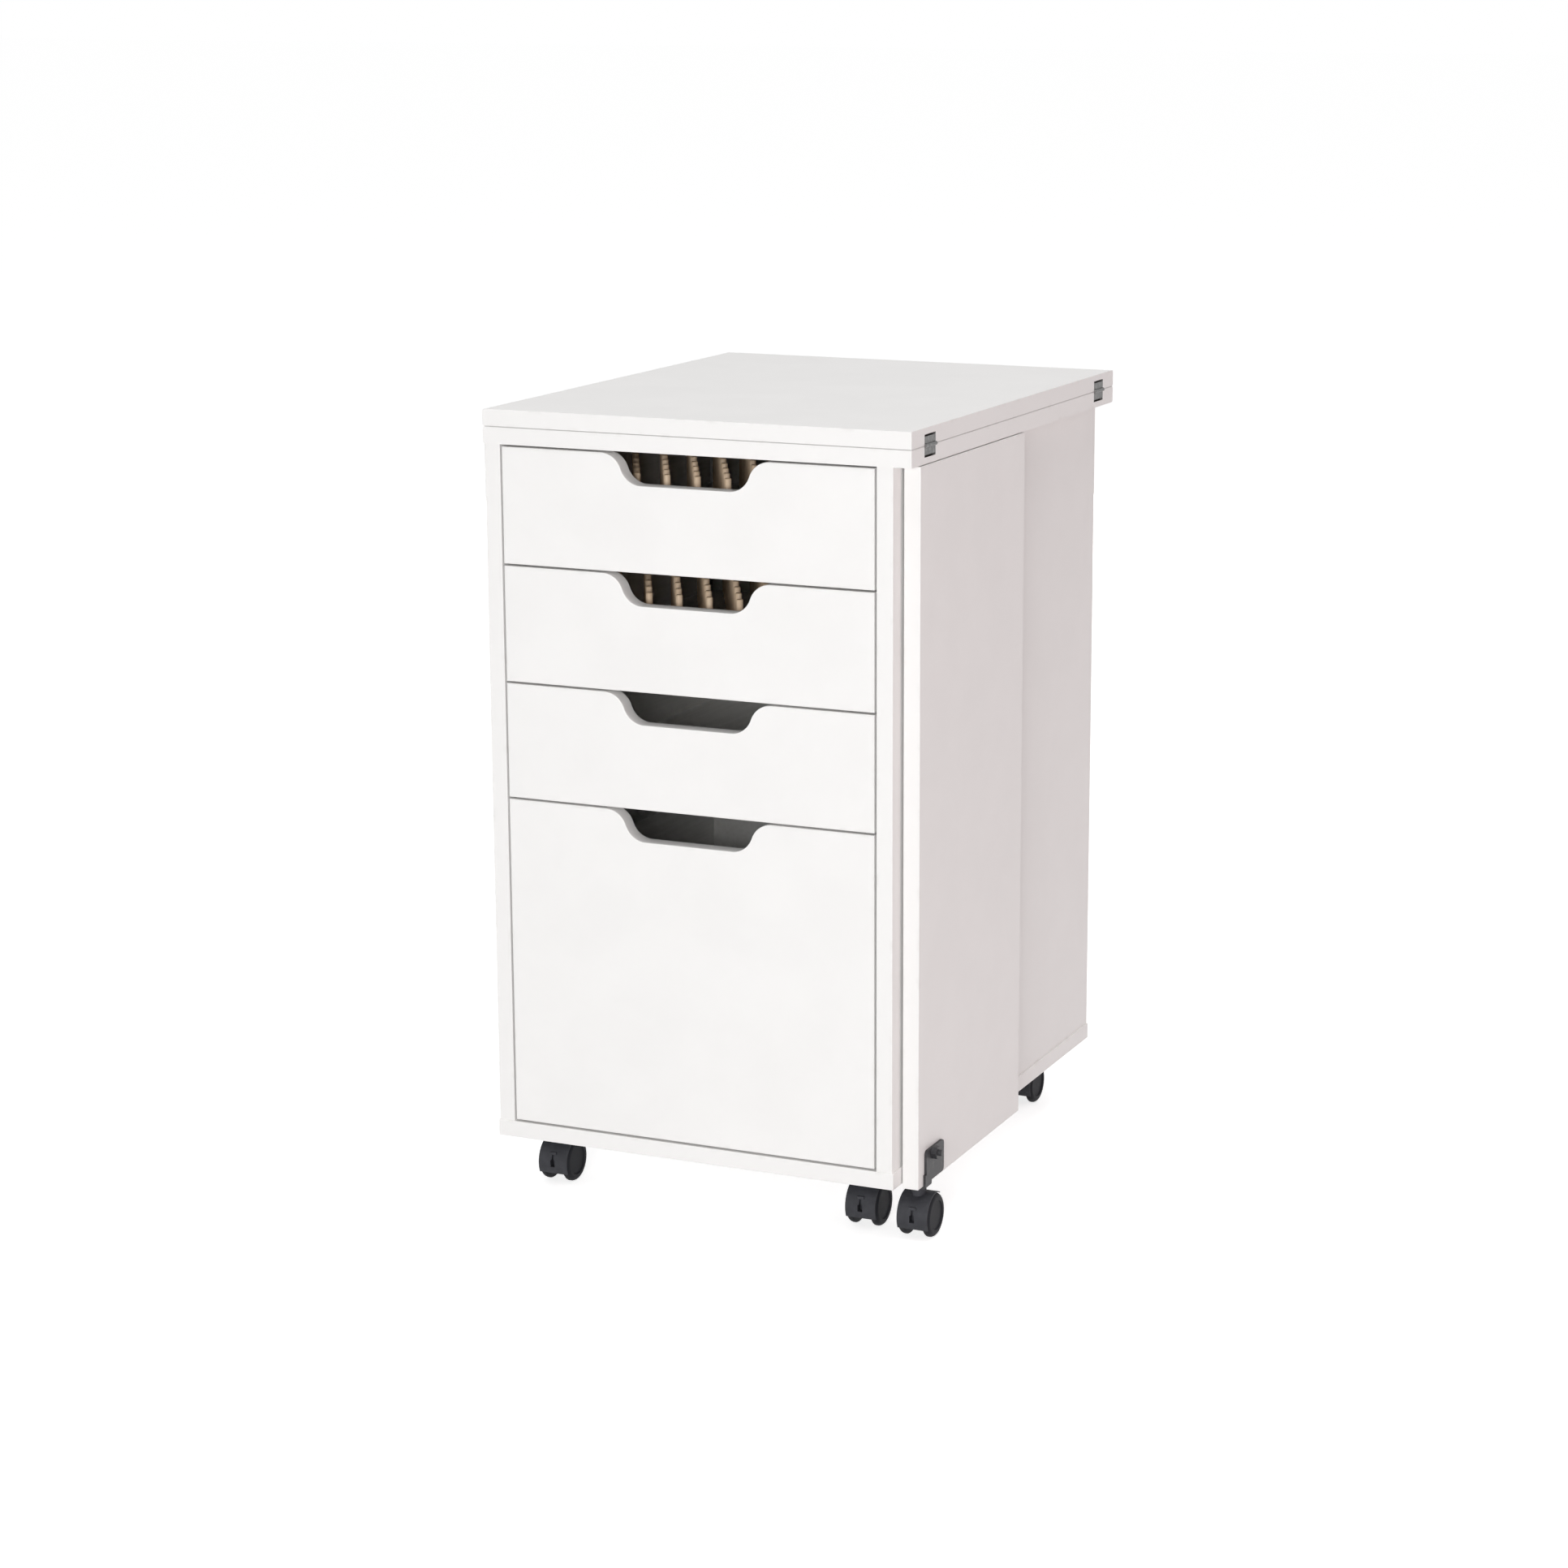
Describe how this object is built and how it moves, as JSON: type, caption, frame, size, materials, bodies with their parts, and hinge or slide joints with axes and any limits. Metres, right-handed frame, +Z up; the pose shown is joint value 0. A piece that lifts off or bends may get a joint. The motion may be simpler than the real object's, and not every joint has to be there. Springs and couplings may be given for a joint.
{
  "type": "sewing table",
  "caption": "Folded white sewing table: a drawer cabinet on casters with a fold-over leaf, a swing-out gate leg and thread pegs in the upper drawers.",
  "frame": {"origin": "on the floor, under the middle of the whole folded object", "axes": "+Z up, drawers face -Y, gate leg and fold line on +X"},
  "size_m": [0.4424, 0.53, 0.7603],
  "materials": {
    "white_board": "white melamine-faced board, satin",
    "drawer_board": "white foil-faced board, satin",
    "birch": "plain turned birch",
    "runner_plastic": "moulded, waxy",
    "zinc_steel": "zinc plated, dull",
    "black_steel": "black powder coat",
    "hood_plastic": "fine moulded grain",
    "wheel_plastic": "hard nylon, satin"
  },
  "bodies": {
    "cabinet": {"base_panel": "white_board", "left_side": "white_board", "right_side": "white_board", "back_panel": "white_board", "fixed_top": "white_board", "drawer_runners": "runner_plastic", "cabinet_screws": "zinc_steel", "caster_mounts": "black_steel", "caster_screws": "zinc_steel", "leaf_hinge_fixed_plates": "zinc_steel", "leaf_hinge_pins": "zinc_steel", "leg_hinge_fixed_leaves": "zinc_steel", "leg_hinge_pins": "zinc_steel"},
    "leaf": {"folding_leaf": "white_board", "leaf_hinge_moving_plates": "zinc_steel"},
    "leg": {"gate_leg": "white_board", "leg_hinge_moving_leaves": "zinc_steel", "leg_caster_bracket": "black_steel", "leg_bracket_bolt": "black_steel", "leg_caster_pin": "zinc_steel"},
    "drawer_1": {"drawer_1_front": "white_board", "drawer_1_sides": "drawer_board", "drawer_1_back": "drawer_board", "drawer_1_bottom": "drawer_board", "drawer_1_peg_board": "drawer_board", "drawer_1_thread_pegs": "birch"},
    "drawer_2": {"drawer_2_front": "white_board", "drawer_2_sides": "drawer_board", "drawer_2_back": "drawer_board", "drawer_2_bottom": "drawer_board", "drawer_2_peg_board": "drawer_board", "drawer_2_thread_pegs": "birch"},
    "drawer_3": {"drawer_3_front": "white_board", "drawer_3_sides": "drawer_board", "drawer_3_back": "drawer_board", "drawer_3_bottom": "drawer_board"},
    "drawer_4": {"drawer_4_front": "white_board", "drawer_4_sides": "drawer_board", "drawer_4_back": "drawer_board", "drawer_4_bottom": "drawer_board"},
    "caster_front_left": {"caster_front_left_hood": "hood_plastic", "caster_front_left_axle": "zinc_steel"},
    "caster_front_left_left_wheel": {"caster_front_left_left_wheel": "wheel_plastic"},
    "caster_front_left_right_wheel": {"caster_front_left_right_wheel": "wheel_plastic"},
    "caster_front_right": {"caster_front_right_hood": "hood_plastic", "caster_front_right_axle": "zinc_steel"},
    "caster_front_right_left_wheel": {"caster_front_right_left_wheel": "wheel_plastic"},
    "caster_front_right_right_wheel": {"caster_front_right_right_wheel": "wheel_plastic"},
    "caster_rear_left": {"caster_rear_left_hood": "hood_plastic", "caster_rear_left_axle": "zinc_steel"},
    "caster_rear_left_left_wheel": {"caster_rear_left_left_wheel": "wheel_plastic"},
    "caster_rear_left_right_wheel": {"caster_rear_left_right_wheel": "wheel_plastic"},
    "caster_rear_right": {"caster_rear_right_hood": "hood_plastic", "caster_rear_right_axle": "zinc_steel"},
    "caster_rear_right_left_wheel": {"caster_rear_right_left_wheel": "wheel_plastic"},
    "caster_rear_right_right_wheel": {"caster_rear_right_right_wheel": "wheel_plastic"},
    "caster_leg": {"caster_leg_hood": "hood_plastic", "caster_leg_axle": "zinc_steel"},
    "caster_leg_left_wheel": {"caster_leg_left_wheel": "wheel_plastic"},
    "caster_leg_right_wheel": {"caster_leg_right_wheel": "wheel_plastic"}
  },
  "joints": [
    {"name": "leaf_fold", "type": "hinge", "parent": "cabinet", "child": "leaf", "pos_m": [0.2089, 0, 0.74415], "axis": [0, 1, 0], "range_deg": [0, 180]},
    {"name": "leg_swing", "type": "hinge", "parent": "cabinet", "child": "leg", "pos_m": [0.19375, 0.0184, 0], "axis": [0, 0, 1], "range_deg": [0, 90]},
    {"name": "drawer_1_slide", "type": "slide", "parent": "cabinet", "child": "drawer_1", "axis": [0, -1, 0], "range_m": [0, 0.3]},
    {"name": "drawer_2_slide", "type": "slide", "parent": "cabinet", "child": "drawer_2", "axis": [0, -1, 0], "range_m": [0, 0.3]},
    {"name": "drawer_3_slide", "type": "slide", "parent": "cabinet", "child": "drawer_3", "axis": [0, -1, 0], "range_m": [0, 0.3]},
    {"name": "drawer_4_slide", "type": "slide", "parent": "cabinet", "child": "drawer_4", "axis": [0, -1, 0], "range_m": [0, 0.3]},
    {"name": "caster_front_left_swivel", "type": "hinge", "parent": "cabinet", "child": "caster_front_left", "pos_m": [-0.18125, -0.214, 0], "axis": [0, 0, 1], "continuous": true},
    {"name": "caster_front_left_left_roll", "type": "hinge", "parent": "caster_front_left", "child": "caster_front_left_left_wheel", "pos_m": [-0.18125, -0.21, 0.021], "axis": [1, 0, 0], "continuous": true},
    {"name": "caster_front_left_right_roll", "type": "hinge", "parent": "caster_front_left", "child": "caster_front_left_right_wheel", "pos_m": [-0.18125, -0.21, 0.021], "axis": [1, 0, 0], "continuous": true},
    {"name": "caster_front_right_swivel", "type": "hinge", "parent": "cabinet", "child": "caster_front_right", "pos_m": [0.14475, -0.214, 0], "axis": [0, 0, 1], "continuous": true},
    {"name": "caster_front_right_left_roll", "type": "hinge", "parent": "caster_front_right", "child": "caster_front_right_left_wheel", "pos_m": [0.14475, -0.21, 0.021], "axis": [1, 0, 0], "continuous": true},
    {"name": "caster_front_right_right_roll", "type": "hinge", "parent": "caster_front_right", "child": "caster_front_right_right_wheel", "pos_m": [0.14475, -0.21, 0.021], "axis": [1, 0, 0], "continuous": true},
    {"name": "caster_rear_left_swivel", "type": "hinge", "parent": "cabinet", "child": "caster_rear_left", "pos_m": [-0.18125, 0.196, 0], "axis": [0, 0, 1], "continuous": true},
    {"name": "caster_rear_left_left_roll", "type": "hinge", "parent": "caster_rear_left", "child": "caster_rear_left_left_wheel", "pos_m": [-0.18125, 0.2, 0.021], "axis": [1, 0, 0], "continuous": true},
    {"name": "caster_rear_left_right_roll", "type": "hinge", "parent": "caster_rear_left", "child": "caster_rear_left_right_wheel", "pos_m": [-0.18125, 0.2, 0.021], "axis": [1, 0, 0], "continuous": true},
    {"name": "caster_rear_right_swivel", "type": "hinge", "parent": "cabinet", "child": "caster_rear_right", "pos_m": [0.14475, 0.196, 0], "axis": [0, 0, 1], "continuous": true},
    {"name": "caster_rear_right_left_roll", "type": "hinge", "parent": "caster_rear_right", "child": "caster_rear_right_left_wheel", "pos_m": [0.14475, 0.2, 0.021], "axis": [1, 0, 0], "continuous": true},
    {"name": "caster_rear_right_right_roll", "type": "hinge", "parent": "caster_rear_right", "child": "caster_rear_right_right_wheel", "pos_m": [0.14475, 0.2, 0.021], "axis": [1, 0, 0], "continuous": true},
    {"name": "caster_leg_swivel", "type": "hinge", "parent": "leg", "child": "caster_leg", "pos_m": [0.20125, -0.2235, 0], "axis": [0, 0, 1], "continuous": true},
    {"name": "caster_leg_left_roll", "type": "hinge", "parent": "caster_leg", "child": "caster_leg_left_wheel", "pos_m": [0.20125, -0.2195, 0.021], "axis": [1, 0, 0], "continuous": true},
    {"name": "caster_leg_right_roll", "type": "hinge", "parent": "caster_leg", "child": "caster_leg_right_wheel", "pos_m": [0.20125, -0.2195, 0.021], "axis": [1, 0, 0], "continuous": true}
  ]
}
